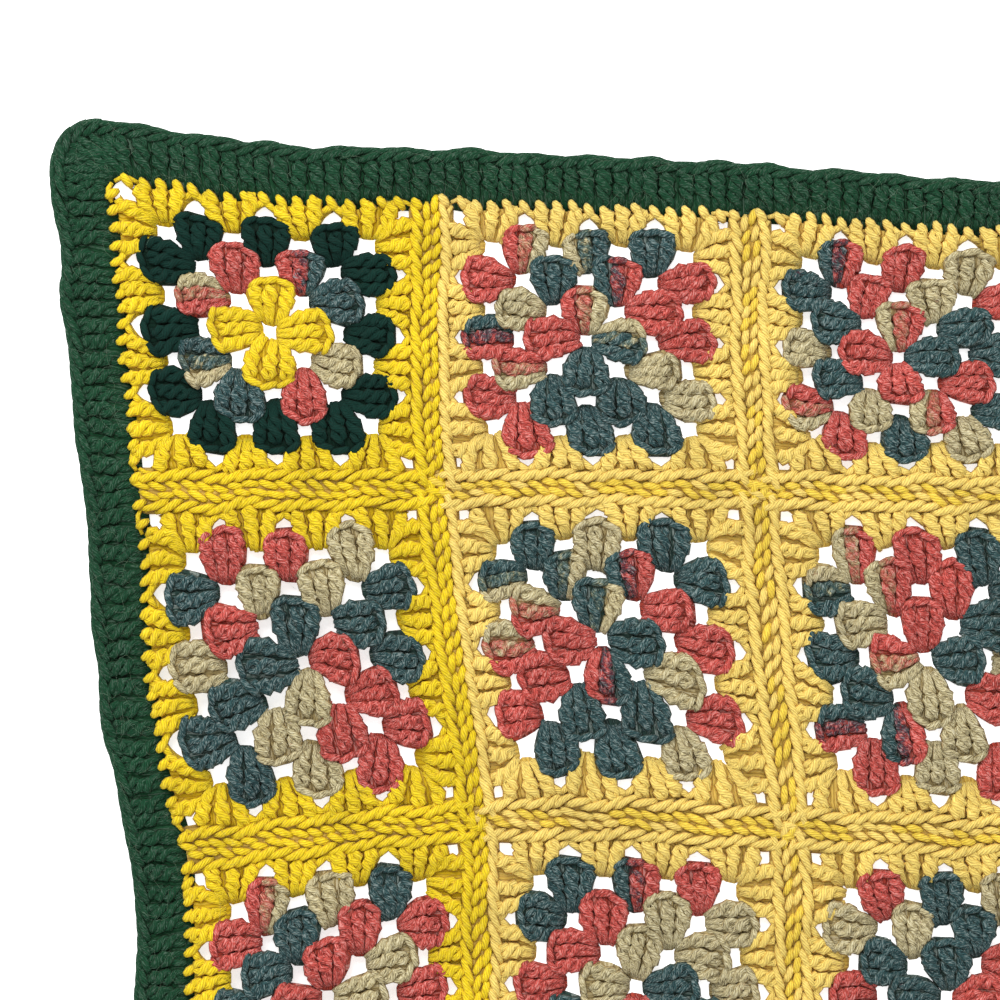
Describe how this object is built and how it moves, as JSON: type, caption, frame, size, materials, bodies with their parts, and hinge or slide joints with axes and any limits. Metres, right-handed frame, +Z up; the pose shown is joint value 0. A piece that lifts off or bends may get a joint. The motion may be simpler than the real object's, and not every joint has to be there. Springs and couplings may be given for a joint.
{
  "type": "granny square blanket",
  "caption": "Small crocheted blanket of joined granny squares with a plain border round, lying flat, with lacy gaps between its stitch clusters.",
  "frame": {"origin": "on the surface that the blanket lies on, under the middle of its box", "axes": "+Z up through the cloth, +Y towards the blanket's top edge, +X towards its right edge, as it lies in the picture"},
  "size_m": [0.6396, 0.6478, 0.0108],
  "materials": {
    "golden_yarn": "soft matt plied yarn, golden yellow rounds round multicoloured ones",
    "butter_yarn": "soft matt plied yarn, butter yellow rounds round multicoloured ones",
    "green_yarn": "soft matt plied yarn, dark bottle green, slightly fuzzy"
  },
  "bodies": {
    "root": {"square_c1_r1": "golden_yarn", "square_c2_r1": "butter_yarn", "square_c3_r1": "butter_yarn", "square_c4_r1": "butter_yarn", "square_c5_r1": "butter_yarn", "square_c1_r2": "golden_yarn", "square_c2_r2": "butter_yarn", "square_c3_r2": "butter_yarn", "square_c4_r2": "butter_yarn", "square_c5_r2": "butter_yarn", "square_c1_r3": "golden_yarn", "square_c2_r3": "butter_yarn", "square_c3_r3": "butter_yarn", "square_c4_r3": "butter_yarn", "square_c5_r3": "butter_yarn", "square_c1_r4": "golden_yarn", "square_c2_r4": "butter_yarn", "square_c3_r4": "butter_yarn", "square_c4_r4": "butter_yarn", "square_c5_r4": "butter_yarn", "square_c1_r5": "golden_yarn", "square_c2_r5": "butter_yarn", "square_c3_r5": "butter_yarn", "square_c4_r5": "butter_yarn", "square_c5_r5": "butter_yarn", "border": "green_yarn"}
  },
  "joints": []
}
